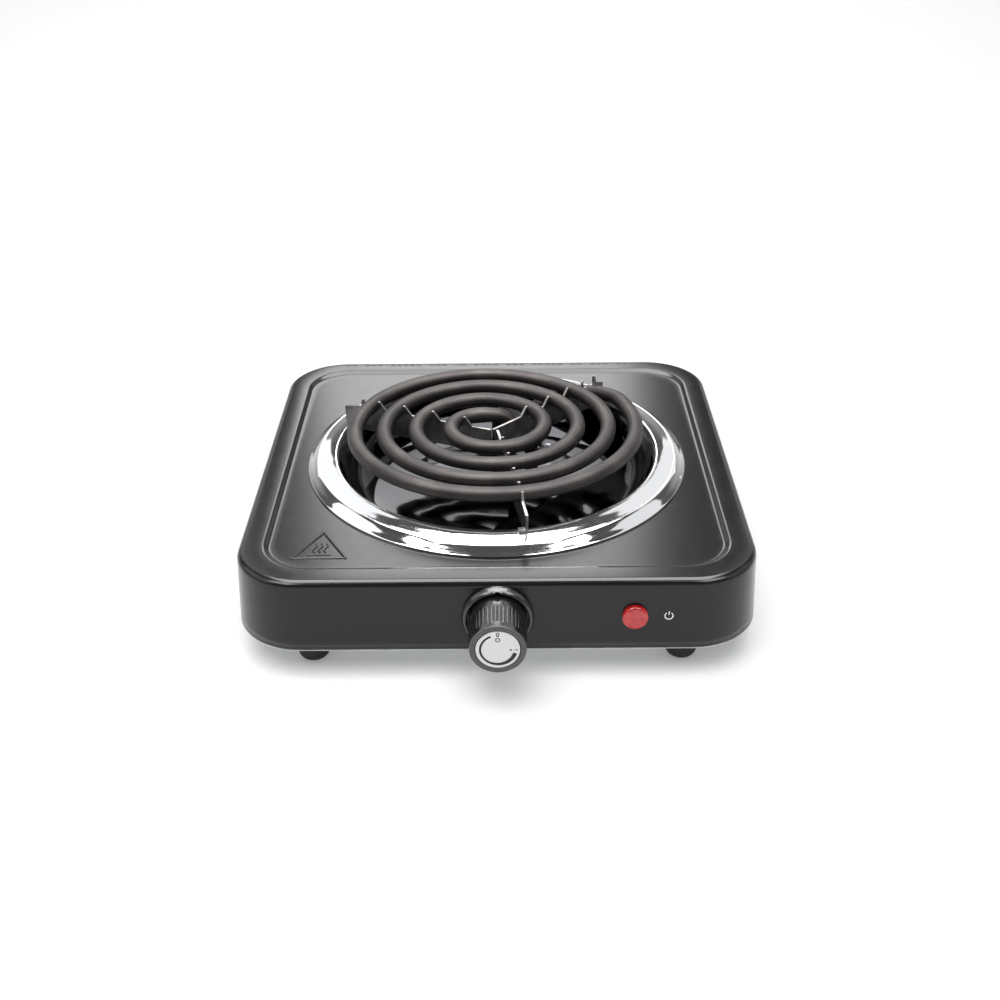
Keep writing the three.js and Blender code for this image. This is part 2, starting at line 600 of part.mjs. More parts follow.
// ---- pilot lamp ----
function lamp() {
  const out = (d) => FRONT_Y - d;
  const stem = LENS_R - 1.1;
  const lens = [
    [0, out(LENS_OUT)], [LENS_R - 1.2, out(LENS_OUT - 0.2)], [LENS_R, out(LENS_OUT - 1)], [LENS_R, out(0.6)],
    [stem, out(0.6)], [stem, out(-7)], [stem - 1.2, out(-7)], [stem - 1.2, out(0)], [0, out(0)],
  ];
  node('lamp_lens', turnedY(lens, LAMP_X, DIAL_Z, 28), 'red');
  const clip = ringOutline(stem + GAP, stem + 3, INSIDE_Y + GAP + 0.3, INSIDE_Y + GAP + 1.1);
  node('lamp_clip', turnedY(clip, LAMP_X, DIAL_Z, 12), 'steel');
  node('lamp_bulb', turnedY(rodOutline(stem - 1.5, out(-0.6), out(-15)), LAMP_X, DIAL_Z, 12), 'red');
}

// ---- cord gland in the rear wall ----
function cordGland() {
  const neck = GLAND_R - 2.3;
  const outline = [
    [GLAND_HOLE_R, BACK_Y - 6], [neck + 1, BACK_Y - 6], [neck + 1, BACK_Y - SHEET - 0.7], [neck, BACK_Y - SHEET - 0.7],
    [neck, BACK_Y + 0.8], [GLAND_R, BACK_Y + 0.8], [GLAND_R, BACK_Y + 3], [GLAND_R - 2, BACK_Y + GLAND_OUT],
    [GLAND_HOLE_R, BACK_Y + GLAND_OUT], [GLAND_HOLE_R, BACK_Y - 6],
  ];
  node('cord_gland', turnedY(outline, GLAND_X, GLAND_Z, 24), 'black');
}

// ---- leads inside the body ----
function leads() {
  const v = (x, y, z) => new THREE.Vector3(x, y, z);
  const [a, b] = legFeet();
  const pinZ = BLOCK_Z - 2 * GAP - LEAD_R;
  const reach = 2.6 + LEAD_R + 0.6;
  const tail = KNOB_X + STACK_X - 10;
  const entry = BACK_Y - 7;
  const low = BASE_TOP + 5;
  const runs = {
    lead_live: [
      v(GLAND_X + 1.7, entry, GLAND_Z), v(GLAND_X + 2, entry - 14, GLAND_Z - 6), v(GLAND_X + 6, 40, low),
      v(GLAND_X - 6, -40, low), v(20, -80, low), v(KNOB_X + 15, BIMETAL_Y + 9, low + 2),
      v(KNOB_X + BLADE_END_X + 3, LEAF_Y + 1, DIAL_Z - 5)],
    lead_switched: [
      v(tail - 2, SPRING_Y, DIAL_Z - 4), v(tail - 10, SPRING_Y + 12, low + 3), v(-44, -40, low),
      v(-40, 20, low), v(b.x - 20, b.y - 4, pinZ), v(b.x - reach, b.y, pinZ)],
    lead_return: [
      v(a.x + reach, a.y, pinZ), v(a.x + 16, a.y + 6, pinZ), v(GLAND_X - 8, 88, low + 2),
      v(GLAND_X - 2, entry - 8, GLAND_Z - 4), v(GLAND_X - 1.7, entry, GLAND_Z)],
  };
  for (const [name, points] of Object.entries(runs)) {
    node(name, tube(points, LEAD_R, 6, 40), 'cable');
  }
}

bodyShell();
basePlate();
feet();
const coilCutter = coilTube(GAP + 0.05);
const clampHoles = coilClamp(coilCutter);
dripBowl([coilCutter, ...clampHoles]);
bowlClips();
node('heating_coil', coilTube(0), 'sheath');
supportArm('support_arm_front', -80.8, 2.5, coilCutter);
supportArm('support_arm_right', 44.3, 0, coilCutter);
supportArm('support_arm_left', 158, 0, coilCutter);
terminals();
thermostat();
knob();
knobBezel();
lamp();
cordGland();
leads();

export default burner;
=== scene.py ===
import json

import bmesh
import bpy
import numpy as np
from mathutils import Matrix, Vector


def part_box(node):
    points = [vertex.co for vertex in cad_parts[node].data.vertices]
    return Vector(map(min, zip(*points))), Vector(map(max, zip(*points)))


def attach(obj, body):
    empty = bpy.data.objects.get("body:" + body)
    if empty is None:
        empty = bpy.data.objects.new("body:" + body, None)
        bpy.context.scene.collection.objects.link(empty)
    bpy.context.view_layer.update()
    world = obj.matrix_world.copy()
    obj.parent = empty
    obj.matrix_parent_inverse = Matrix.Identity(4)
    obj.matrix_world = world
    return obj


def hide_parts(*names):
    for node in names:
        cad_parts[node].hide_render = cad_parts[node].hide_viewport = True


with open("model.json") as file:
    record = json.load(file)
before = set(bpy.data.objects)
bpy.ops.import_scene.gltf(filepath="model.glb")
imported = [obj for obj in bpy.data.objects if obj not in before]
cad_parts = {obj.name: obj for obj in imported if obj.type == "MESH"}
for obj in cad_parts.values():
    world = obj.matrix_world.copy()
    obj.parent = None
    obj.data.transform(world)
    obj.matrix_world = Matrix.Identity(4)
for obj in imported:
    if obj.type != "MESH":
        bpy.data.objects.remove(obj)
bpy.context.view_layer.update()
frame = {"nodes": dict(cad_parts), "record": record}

MM = 0.001
TAU = 2 * np.pi


def cad_box(node):
    """Lowest and highest corner of a CAD node, in millimetres."""
    low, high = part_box(node)
    return np.array(low) / MM, np.array(high) / MM


# ---- where things are, all from the frame, in millimetres ----
BODY_LOW, BODY_HIGH = cad_box("body_shell")
BODY_MID = (BODY_LOW + BODY_HIGH) / 2
DECK = BODY_HIGH[2]
SKIRT = BODY_LOW[2]
FLARE = 1.7  # each wall leans out by this much towards its bottom edge
HALF = (BODY_HIGH - BODY_LOW)[:2] / 2 - FLARE
CORNER = 30.0
SHEET = 0.9
PANEL = DECK - 1.5

BOWL_LOW, BOWL_HIGH = cad_box("drip_bowl")
BOWL_MID = (BOWL_LOW + BOWL_HIGH) / 2
RIM_R = (BOWL_HIGH[0] - BOWL_LOW[0]) / 2
LIP_R = RIM_R - 15.5
BOWL_SHEET = 0.8
BOWL_DEPTH = DECK - BOWL_LOW[2] - BOWL_SHEET

COIL_LOW, COIL_HIGH = cad_box("heating_coil")
COIL_Z = COIL_HIGH[2] - 3.5
COIL_MID = BODY_MID[:2] + (-3.6, 1.0)
COIL_WIDE, COIL_TALL = 3.75, 3.3  # half axes of the tube, which is pressed a little flat

JOINT = {j["name"]: j for j in frame["record"]["behaviour"]["joints"]}
DIAL = np.array(JOINT["knob_turn"]["pos_m"]) / MM
KNOB_LOW, KNOB_HIGH = cad_box("knob")
KNOB_FACE = DIAL[1] - KNOB_LOW[1]
KNOB_R = (KNOB_HIGH[0] - KNOB_LOW[0]) / 2
LENS_LOW, LENS_HIGH = cad_box("lamp_lens")
LENS_MID = (LENS_LOW + LENS_HIGH) / 2
LENS_R = (LENS_HIGH[0] - LENS_LOW[0]) / 2
GLAND_LOW, GLAND_HIGH = cad_box("cord_gland")
GLAND_MID = (GLAND_LOW + GLAND_HIGH) / 2
GLAND_R = (GLAND_HIGH[0] - GLAND_LOW[0]) / 2
CORNERS = ("front_left", "front_right", "rear_left", "rear_right")


# ---- colours and materials ----
def colour(text):
    """A hex sRGB colour as linear RGBA."""
    c = np.array([int(text[i:i + 2], 16) for i in (1, 3, 5)]) / 255
    return (*np.where(c <= 0.04045, c / 12.92, ((c + 0.055) / 1.055) ** 2.4), 1.0)


def add(tree, kind, sockets=None, **settings):
    """A node with its settings; each socket gets a value, or a link from another node's output."""
    node = tree.nodes.new(kind)
    for key, value in settings.items():
        setattr(node, key, value)
    for key, value in (sockets or {}).items():
        if isinstance(value, bpy.types.NodeSocket):
            tree.links.new(value, node.inputs[key])
        else:
            node.inputs[key].default_value = value
    return node


def ramp(tree, source, stops):
    """A colour ramp from source; stops are (position, hex colour)."""
    node = add(tree, "ShaderNodeValToRGB", {0: source})
    band = node.color_ramp.elements
    while len(band) < len(stops):
        band.new(0.5)
    for element, (place, text) in zip(band, stops):
        element.position = place
        element.color = colour(text)
    return node.outputs[0]


def spread(tree, source, low, high):
    """Source, from 0 to 1, spread over low to high."""
    return add(tree, "ShaderNodeMapRange", {0: source, 3: low, 4: high}).outputs[0]


def noise(tree, where, size_mm, detail=3.0, stretch=None):
    """Noise with features about size_mm across, drawn out by stretch along the axes."""
    if stretch:
        where = add(tree, "ShaderNodeMapping", {0: where, 3: stretch}).outputs[0]
    sockets = {"Vector": where, "Scale": 1 / (size_mm * MM), "Detail": detail}
    return add(tree, "ShaderNodeTexNoise", sockets).outputs[0]


def start_material(name, **shader):
    """A new material with its tree, object coordinates and shader."""
    material = bpy.data.materials.new(name)
    material.use_nodes = True
    tree = material.node_tree
    tree.nodes.clear()
    bsdf = add(tree, "ShaderNodeBsdfPrincipled", {k.replace("_", " "): v for k, v in shader.items()})
    add(tree, "ShaderNodeOutputMaterial", {0: bsdf.outputs[0]})
    where = add(tree, "ShaderNodeTexCoord").outputs["Object"]
    return material, tree, bsdf, where


def feed(tree, bsdf, socket, source):
    tree.links.new(source, bsdf.inputs[socket])


def bumpy(tree, bsdf, source, depth_mm):
    """Raises the surface by source times depth_mm."""
    sockets = {"Height": source, "Distance": depth_mm * MM, "Strength": 1.0}
    feed(tree, bsdf, "Normal", add(tree, "ShaderNodeBump", sockets).outputs[0])


def black_enamel():
    """Baked satin enamel on pressed steel: broad soft reflections over a very fine orange peel."""
    m, t, b, at = start_material("black_enamel", IOR=1.42, Coat_Weight=0.05, Coat_Roughness=0.16)
    feed(t, b, "Base Color", ramp(t, noise(t, at, 40), [(0.3, "#100f10"), (0.7, "#151415")]))
    feed(t, b, "Roughness", spread(t, noise(t, at, 6, 5), 0.17, 0.23))
    bumpy(t, b, noise(t, at, 0.9, 2), 0.006)
    return m


def bright_chrome():
    """Chrome on drawn steel: a mirror that waves gently, with a haze of wiping marks. Inside the lip its
    colour is darkened, a painted shade that stands in for the dark reflections inside the bowl."""
    m, t, b, at = start_material("bright_chrome", Metallic=1.0)
    level = add(t, "ShaderNodeVectorMath", {0: at, 1: (1, 1, 0)}, operation="MULTIPLY").outputs[0]
    axis = (BOWL_MID[0] * MM, BOWL_MID[1] * MM, 0)
    radius = add(t, "ShaderNodeVectorMath", {0: level, 1: axis}, operation="DISTANCE").outputs["Value"]
    # painted shade: the base colour goes dark inside the lip, in place of the bowl's dark reflections
    lip = {0: radius, 1: (LIP_R - 2.5) * MM, 2: (LIP_R + 0.5) * MM}
    painted_shade_inside_lip = add(t, "ShaderNodeMapRange", lip).outputs[0]
    feed(t, b, "Base Color", ramp(t, painted_shade_inside_lip, [(0.0, "#29292b"), (1.0, "#dfe0e2")]))
    feed(t, b, "Roughness", spread(t, noise(t, at, 9, 6), 0.03, 0.09))
    bumpy(t, b, noise(t, at, 14, 1), 0.12)
    return m


def coil_sheath():
    """Oxidised nickel-steel sheath: satin grey-brown, streaked along the tube, in random darker and lighter
    blotches.
    """
    m, t, b, at = start_material("coil_sheath", Metallic=0.6)
    along = add(t, "ShaderNodeUVMap", uv_map="along").outputs[0]
    streak = noise(t, along, 1.6, 5, (0.06, 1.0, 1.0))
    blotch = noise(t, at, 16, 4)
    both = add(t, "ShaderNodeMix", {0: 0.4, 2: blotch, 3: streak}).outputs[0]
    tint = ramp(t, both, [(0.3, "#262324"), (0.5, "#363231"), (0.7, "#4a4543")])
    feed(t, b, "Base Color", tint)
    feed(t, b, "Roughness", spread(t, streak, 0.38, 0.56))
    bumpy(t, b, noise(t, at, 0.5, 4), 0.02)
    return m


def bright_strip():
    """Stamped stainless strip: rolled grain with small stains from heat."""
    m, t, b, at = start_material("bright_strip", Metallic=1.0)
    grain = noise(t, at, 0.5, 3, (1.0, 1.0, 0.05))
    feed(t, b, "Base Color", ramp(t, noise(t, at, 7), [(0.35, "#6f6d6b"), (0.65, "#93918f")]))
    feed(t, b, "Roughness", spread(t, grain, 0.24, 0.42))
    bumpy(t, b, grain, 0.01)
    return m


def zinc_plate():
    """Dull zinc plate: cool grey with a cloudy spangle."""
    m, t, b, at = start_material("zinc_plate", Metallic=1.0)
    cells = add(t, "ShaderNodeTexVoronoi", {"Vector": at, "Scale": 1 / (5 * MM)}).outputs["Color"]
    feed(t, b, "Base Color", ramp(t, cells, [(0.2, "#9fa2a4"), (0.8, "#b6b9bb")]))
    feed(t, b, "Roughness", spread(t, noise(t, at, 2, 4), 0.34, 0.5))
    bumpy(t, b, noise(t, at, 0.6), 0.008)
    return m


def black_gloss_moulding():
    """Glossy moulded phenolic: near black, sharp highlights, faint flow marks."""
    m, t, b, at = start_material("black_gloss_moulding", IOR=1.55, Coat_Weight=0.3, Coat_Roughness=0.05)
    feed(t, b, "Base Color", ramp(t, noise(t, at, 8), [(0.3, "#121213"), (0.7, "#19191a")]))
    feed(t, b, "Roughness", spread(t, noise(t, at, 1.5, 4), 0.2, 0.28))
    bumpy(t, b, noise(t, at, 3, 2), 0.01)
    return m


def silver_dial():
    """Silver lacquer on the dial plate: pale, finely grained, barely metallic."""
    m, t, b, at = start_material("silver_dial", Metallic=0.15)
    grain = noise(t, at, 0.25, 2)
    feed(t, b, "Base Color", ramp(t, grain, [(0.3, "#d2d1d3"), (0.7, "#e2e1e3")]))
    feed(t, b, "Roughness", spread(t, grain, 0.38, 0.48))
    bumpy(t, b, grain, 0.004)
    return m


def ink_and_painted_reflection(name, low, high):
    """Pad-printed ink, and also the painted reflection on the knob's rim: flat, slightly uneven in its cover.
    """
    m, t, b, at = start_material(name, IOR=1.5)
    feed(t, b, "Base Color", ramp(t, noise(t, at, 0.7, 3), [(0.35, low), (0.65, high)]))
    feed(t, b, "Roughness", spread(t, noise(t, at, 0.4), 0.45, 0.6))
    return m


def red_lens():
    """Clear red polycarbonate, matt inside: deep red with a glossy skin and light scattered within."""
    m, t, b, at = start_material(
        "red_lens", IOR=1.58, Roughness=0.16, Subsurface_Weight=0.4, Subsurface_Scale=0.003,
        Subsurface_Radius=(1.0, 0.08, 0.06), Coat_Weight=0.4, Coat_Roughness=0.1,
        Emission_Strength=0.05)
    tint = ramp(t, noise(t, at, 3, 2), [(0.3, "#a81517"), (0.7, "#c42426")])
    feed(t, b, "Base Color", tint)
    feed(t, b, "Emission Color", tint)
    bumpy(t, b, noise(t, at, 1.2, 2), 0.02)
    return m


def black_rubber():
    """Moulded rubber: matt, a little grey from dust, softly pitted."""
    m, t, b, at = start_material("black_rubber", IOR=1.5)
    feed(t, b, "Base Color", ramp(t, noise(t, at, 3, 4), [(0.35, "#151515"), (0.7, "#222221")]))
    feed(t, b, "Roughness", spread(t, noise(t, at, 1, 4), 0.6, 0.8))
    bumpy(t, b, noise(t, at, 0.5, 3), 0.03)
    return m


def black_nylon():
    """Moulded nylon: black with a fine matt texture."""
    m, t, b, at = start_material("black_nylon", IOR=1.53)
    feed(t, b, "Base Color", ramp(t, noise(t, at, 4), [(0.3, "#141414"), (0.7, "#1e1e1e")]))
    feed(t, b, "Roughness", spread(t, noise(t, at, 0.8, 3), 0.42, 0.58))
    bumpy(t, b, noise(t, at, 0.3, 2), 0.015)
    return m


def steatite():
    """Unglazed steatite: cream, chalky, faintly speckled."""
    m, t, b, at = start_material("steatite", IOR=1.6)
    feed(t, b, "Base Color", ramp(t, noise(t, at, 0.8, 5), [(0.35, "#cfc8b6"), (0.65, "#ded8c8")]))
    feed(t, b, "Roughness", spread(t, noise(t, at, 1.5), 0.6, 0.75))
    bumpy(t, b, noise(t, at, 0.4, 3), 0.02)
    return m


def contact_brass():
    """Rolled brass, slightly tarnished."""
    m, t, b, at = start_material("contact_brass", Metallic=1.0)
    feed(t, b, "Base Color", ramp(t, noise(t, at, 4, 4), [(0.3, "#9d7d45"), (0.7, "#c9a768")]))
    feed(t, b, "Roughness", spread(t, noise(t, at, 1, 3), 0.28, 0.45))
    return m


def bulb_glass():
    """Clear glass of a small neon bulb, with a trace of orange gas."""
    m, t, b, at = start_material("bulb_glass", IOR=1.5, Transmission_Weight=0.9)
    feed(t, b, "Base Color", ramp(t, noise(t, at, 3), [(0.3, "#f2d2b8"), (0.7, "#fbe9da")]))
    feed(t, b, "Roughness", spread(t, noise(t, at, 2), 0.02, 0.08))
    return m


def glass_sleeve():
    """Woven glass-fibre sleeve on the leads: cream, with a 0.8 mm braid."""
    m, t, b, at = start_material("glass_sleeve", IOR=1.5, Sheen_Weight=0.2)
    wave = {"Vector": at, "Scale": 0.5 / (0.8 * MM), "Distortion": 1.5}
    braid = add(t, "ShaderNodeTexWave", wave, bands_direction="DIAGONAL").outputs[1]
    feed(t, b, "Base Color", ramp(t, braid, [(0.2, "#a89f8c"), (0.8, "#cdc5b3")]))
    feed(t, b, "Roughness", spread(t, braid, 0.7, 0.9))
    bumpy(t, b, braid, 0.08)
    return m


ENAMEL = black_enamel()
CHROME = bright_chrome()
SHEATH = coil_sheath()
STRIP = bright_strip()
ZINC = zinc_plate()
GLOSS = black_gloss_moulding()
SILVER = silver_dial()
INK = ink_and_painted_reflection("black_ink", "#09090a", "#111112")
WHITE_INK = ink_and_painted_reflection("white_ink", "#e4e4e4", "#f2f2f2")
# painted reflection: the knob's face rim is painted dark grey in place of the reflection on its black
# moulding
PAINTED_RIM_REFLECTION = ink_and_painted_reflection("painted_rim_reflection", "#454446", "#545355")
RED = red_lens()
RUBBER = black_rubber()
NYLON = black_nylon()
CERAMIC = steatite()
BRASS = contact_brass()
GLASS = bulb_glass()
SLEEVE = glass_sleeve()


# ---- surfaces ----
def quads(rows, cols, wrap_rows, wrap_cols):
    """Corner indices of the quads of a grid, and of the same quads without wrapping."""
    r = np.arange(rows if wrap_rows else rows - 1)[:, None]
    c = np.arange(cols if wrap_cols else cols - 1)[None, :]
    r0, c0 = np.broadcast_arrays(r, c)
    r1, c1 = r0 + 1, c0 + 1
    flat = np.stack([r0, c0, r0, c1, r1, c1, r1, c0], -1).reshape(-1, 4, 2)
    wrapped = flat % (rows, cols)
    return wrapped[..., 0] * cols + wrapped[..., 1], flat


def lengths(grid, axis, wrap):
    """Mean distance run along one axis of a grid, starting at 0."""
    closed = np.concatenate([grid, np.take(grid, [0], axis)], axis) if wrap else grid
    step = np.linalg.norm(np.diff(closed, axis=axis), axis=-1).mean(1 - axis)
    run = np.concatenate([[0], np.cumsum(step)])
    return run if wrap else np.append(run, run[-1])


def finish_mesh(mesh, facing, sharp):
    """Merges doubles, points the faces outwards (or towards facing), and smooths all but sharp edges."""
    bm = bmesh.new()
    bm.from_mesh(mesh)
    bmesh.ops.remove_doubles(bm, verts=bm.verts, dist=1e-3 * MM)
    bmesh.ops.dissolve_degenerate(bm, edges=bm.edges, dist=1e-4 * MM)
    bmesh.ops.recalc_face_normals(bm, faces=bm.faces)
    if facing is not None:
        total = sum(f.normal.dot(facing) * f.calc_area() for f in bm.faces)
        if total < 0:
            bmesh.ops.reverse_faces(bm, faces=bm.faces)
    bm.to_mesh(mesh)
    bm.free()
    mesh.polygons.foreach_set("use_smooth", np.ones(len(mesh.polygons), bool))
    mesh.set_sharp_from_angle(angle=np.radians(sharp))


def place(name, mesh, material, slot, body, replaces):
    """Puts a finished mesh into the scene as a piece of the object."""
    piece = bpy.data.objects.new(name, mesh)
    bpy.context.scene.collection.objects.link(piece)
    mesh.materials.append(material)
    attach(piece, body)
    if replaces:
        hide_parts(*replaces)
    return piece


def surface(name, grid, material, slot, body="base", replaces=(), wrap_rows=False, wrap_cols=True,
            keep=None, facing=None, sharp=32, wall=None):
    """A piece from a grid of points in millimetres, rows x columns; keep drops the quads it is False for,
    and wall gives the sheet a thickness on its back."""
    rows, cols = grid.shape[:2]
    faces, flat = quads(rows, cols, wrap_rows, wrap_cols)
    if keep is not None:
        faces, flat = faces[keep], flat[keep]
    mesh = bpy.data.meshes.new(name)
    mesh.vertices.add(rows * cols)
    mesh.vertices.foreach_set("co", (grid * MM).astype(np.float32).ravel())
    mesh.loops.add(faces.size)
    mesh.loops.foreach_set("vertex_index", faces.astype(np.int32).ravel())
    mesh.polygons.add(len(faces))
    mesh.polygons.foreach_set("loop_start", np.arange(0, faces.size, 4, dtype=np.int32))
    run = [lengths(grid, 0, wrap_rows), lengths(grid, 1, wrap_cols)]
    uv = np.stack([run[0][flat[..., 0]], run[1][flat[..., 1]]], -1) * MM
    mesh.uv_layers.new(name="along").data.foreach_set("uv", uv.astype(np.float32).ravel())
    mesh.update(calc_edges=True)
    finish_mesh(mesh, facing, sharp)
    piece = place(name, mesh, material, slot, body, replaces)
    if wall:
        sheet = piece.modifiers.new("sheet", "SOLIDIFY")
        sheet.thickness = wall * MM
        sheet.offset = -1
    return piece


def smooth_line(points, per_span=8):
    """Catmull-Rom curve through points: between b and c it is the cubic with slopes (c-a)/2 and (d-b)/2."""
    p = np.asarray(points, float)
    p = np.concatenate([[2 * p[0] - p[1]], p, [2 * p[-1] - p[-2]]])
    t = np.linspace(0, 1, per_span, endpoint=False)[None, :, None]
    a, b, c, d = (p[i:len(p) - 3 + i, None] for i in range(4))
    cubic = (b + t * (c - a) / 2 + t ** 2 * (a - 2.5 * b + 2 * c - d / 2)
             + t ** 3 * (1.5 * (b - c) + (d - a) / 2))
    return np.concatenate([cubic.reshape(-1, p.shape[1]), p[-2:-1]])


def rounded(points, radius, steps=5):
    """A line of (r, z) with each inner corner rounded by a quadratic curve that starts radius from it."""
    p = np.asarray(points, float)
    out = [p[:1]]
    t = np.linspace(0, 1, steps)[:, None]
    for before, corner, after in zip(p, p[1:], p[2:]):
        back, on = before - corner, after - corner
        near = np.minimum(radius / np.array([np.hypot(*back), np.hypot(*on)]), 0.45)
        start, end = corner + back * near[0], corner + on * near[1]
        out.append((1 - t) ** 2 * start + 2 * t * (1 - t) * corner + t ** 2 * end)
    out.append(p[-1:])
    return np.concatenate(out)


def turned(profile, centre, axis="z", count=96, radius=None):
    """Surface of revolution: (r, h) turned about an upright axis, or about one along Y with h from the
    centre towards the front. radius, if given, changes r by angle and height."""
    angle = np.arange(count) * TAU / count
    r, h = profile[:, :1], np.broadcast_to(profile[:, 1:], (len(profile), count))
    r = np.broadcast_to(r, h.shape) if radius is None else radius(r, h, angle[None, :])
    x, y = r * np.cos(angle), r * np.sin(angle)
    grid = np.stack([x, y, h] if axis == "z" else [x, -h, y], -1)
    return grid + centre


def swept(path, section, side, up):
    """A section of (sideways, upwards) points carried along a path, with its ends drawn in to a point."""
    ring = path[:, None] + section[None, :, :1] * side[:, None] + section[None, :, 1:] * up[:, None]
    return np.concatenate([path[None, :1].repeat(len(section), 1), ring,
                           path[None, -1:].repeat(len(section), 1)])


def headings(path):
    """Unit side and up vectors along a path. The side is level and square to the heading, which is carried
    over wherever the path runs nearly straight up or down."""
    along = np.gradient(path, axis=0)
    along /= np.linalg.norm(along, axis=1)[:, None]
    level = np.hypot(along[:, 0], along[:, 1]) > 0.25
    place_on = np.arange(len(path))
    angle = np.unwrap(np.arctan2(along[level, 1], along[level, 0]))
    angle = np.interp(place_on, place_on[level], angle)
    side = np.stack([np.sin(angle), -np.cos(angle), np.zeros_like(angle)], -1)
    up = np.cross(side, along)
    return side, up / np.linalg.norm(up, axis=1)[:, None]


def evenly(path, step):
    """The same path with its points step apart."""
    run = np.concatenate([[0], np.cumsum(np.linalg.norm(np.diff(path, axis=0), axis=1))])
    at = np.linspace(0, run[-1], max(int(run[-1] / step), 2) + 1)
    return np.stack([np.interp(at, run, path[:, i]) for i in range(3)], -1)


# ---- body ----
ARC = 26  # points on each corner
EDGE = 44  # spans on each straight side


def rounded_loop(half, radius):
    """A rectangle with rounded corners, as points that keep their places on the arcs and the straights."""
    turn = np.linspace(0, np.pi / 2, ARC)
    loop = []
    for k, (sx, sy) in enumerate(((1, 1), (-1, 1), (-1, -1), (1, -1))):
        centre = np.array([sx * (half[0] - radius), sy * (half[1] - radius)])
        arc = centre + radius * np.stack([np.cos(turn + k * np.pi / 2), np.sin(turn + k * np.pi / 2)], -1)
        loop.append(arc)
    points = []
    t = np.linspace(0, 1, EDGE + 1)[1:-1, None]
    for k in range(4):
        points += [loop[k], loop[k][-1] * (1 - t) + loop[(k + 1) % 4][0] * t]
    return np.concatenate(points)


def body_profile():
    """Rows of (inset, height): up the leaning wall, over the top edge, across the border and down a soft
    step, which falls as 3 t^2 - 2 t^3."""
    edge = 3.2
    fillet = np.linspace(0, np.pi / 2, 12)
    lean = FLARE * edge / (DECK - SKIRT)
    wall = np.linspace(0, 1, 9)[:, None] * (FLARE - lean, DECK - edge - SKIRT) + (-FLARE, SKIRT)
    over = np.stack([-lean + (edge + lean) * (1 - np.cos(fillet)), DECK - edge + edge * np.sin(fillet)], -1)
    step = np.linspace(0, 1, 16)
    step_at, step_wide = 10.4, 3.6
    down = np.stack([step_at + step_wide * step, DECK + (PANEL - DECK) * (3 * step ** 2 - 2 * step ** 3)], -1)
    return np.concatenate([wall, over[1:], [[6.5, DECK]], down])


def make_body():
    """Rounded loops stacked along the profile, then straight lines in to the round opening for the bowl.
    The corners' radius falls by 0.72 of the inset."""
    rows = []
    for inset, height in body_profile():
        loop = rounded_loop(HALF - inset, CORNER - 0.72 * inset)
        rows.append(np.column_stack([loop, np.full(len(loop), height)]))
    outer = rows[-1][:, :2]
    centre = BOWL_MID[:2] - BODY_MID[:2]
    ray = outer - centre
    inner = centre + (LIP_R + 6) * ray / np.linalg.norm(ray, axis=1)[:, None]
    for t in np.linspace(0, 1, 14)[1:]:
        rows.append(np.column_stack([outer * (1 - t) + inner * t, np.full(len(outer), PANEL)]))
    grid = np.array(rows) + (BODY_MID[0], BODY_MID[1], 0)
    surface("body_pressing", grid, ENAMEL, "body_paint", replaces=["body_shell"], facing=(0, 0, 1),
            sharp=50, wall=SHEET)


def bead(path, width, height):
    """A pressed line: a low rounded section, height (1 - s^2)^1.5 for s from -1 to 1 across its width,
    carried along a level path. Its base is sunk a little, so that it grows out of the sheet."""
    s = np.linspace(-1, 1, 11)
    crown = np.column_stack([s * width / 2, height * (1 - s ** 2) ** 1.5])
    base = np.column_stack([s[::-1][1:-1] * width / 2, np.full(9, -0.25)])
    side, up = headings(path)
    return swept(path, np.concatenate([crown, base]), side, up)


def join(name, grids, material, slot, body="base"):
    """Several closed grids as one piece."""
    sharp = 60
    pieces = [surface(f"{name}_{i}", g, material, slot, body, sharp=sharp) for i, g in enumerate(grids)]
    bm = bmesh.new()
    for piece in pieces:
        bm.from_mesh(piece.data)
    mesh = bpy.data.meshes.new(name)
    bm.to_mesh(mesh)
    bm.free()
    for piece in pieces:
        old = piece.data
        bpy.data.objects.remove(piece)
        bpy.data.meshes.remove(old)
    mesh.set_sharp_from_angle(angle=np.radians(sharp))
    place(name, mesh, material, slot, body, ())


def on_panel(points, height=PANEL):
    """Level points given from the middle of the body."""
    points = np.asarray(points, float)
    return np.column_stack([points + BODY_MID[:2], np.full(len(points), height)])


def make_hot_sign():
    """The public sign for a hot surface: a triangle with three rising waves over a bar."""
    corners = np.array([(-78.2, -70.2), (-89.9, -91.1), (-66.5, -91.1), (-78.2, -70.2)])
    grids = []
    for a, b in zip(corners, corners[1:]):
        t = np.linspace(-0.02, 1.02, 30)[:, None]
        grids.append(bead(on_panel(a + (b - a) * t), 1.5, 0.5))
    rise = np.linspace(-1, 1, 24)
    for x in (-80.6, -78.2, -75.8):
        wave = np.column_stack([x + 0.75 * np.sin(rise * np.pi), -82.9 + 3.4 * rise])
        grids.append(bead(on_panel(wave), 1.1, 0.45))
    bar = np.column_stack([np.linspace(-83.4, -73.0, 16), np.full(16, -88.4)])
    grids.append(bead(on_panel(bar), 1.1, 0.45))
    join("hot_surface_sign", grids, ENAMEL, "body_paint")


def make_border_marks():
    """A row of short pressed dashes along the rear border, in groups."""
    grids = []
    x = -86.0
    for group in (2, 3, 5, 3, 2, 4, 3, 5, 2, 3, 4):
        for _ in range(group):
            dash = np.column_stack([np.linspace(x, x + 2.4, 8), np.full(8, 108.2)])
            grids.append(bead(on_panel(dash, DECK), 1.1, 0.4))
            x += 3.7
        x += 3.6
    join("rear_border_dashes", grids, ENAMEL, "body_paint")


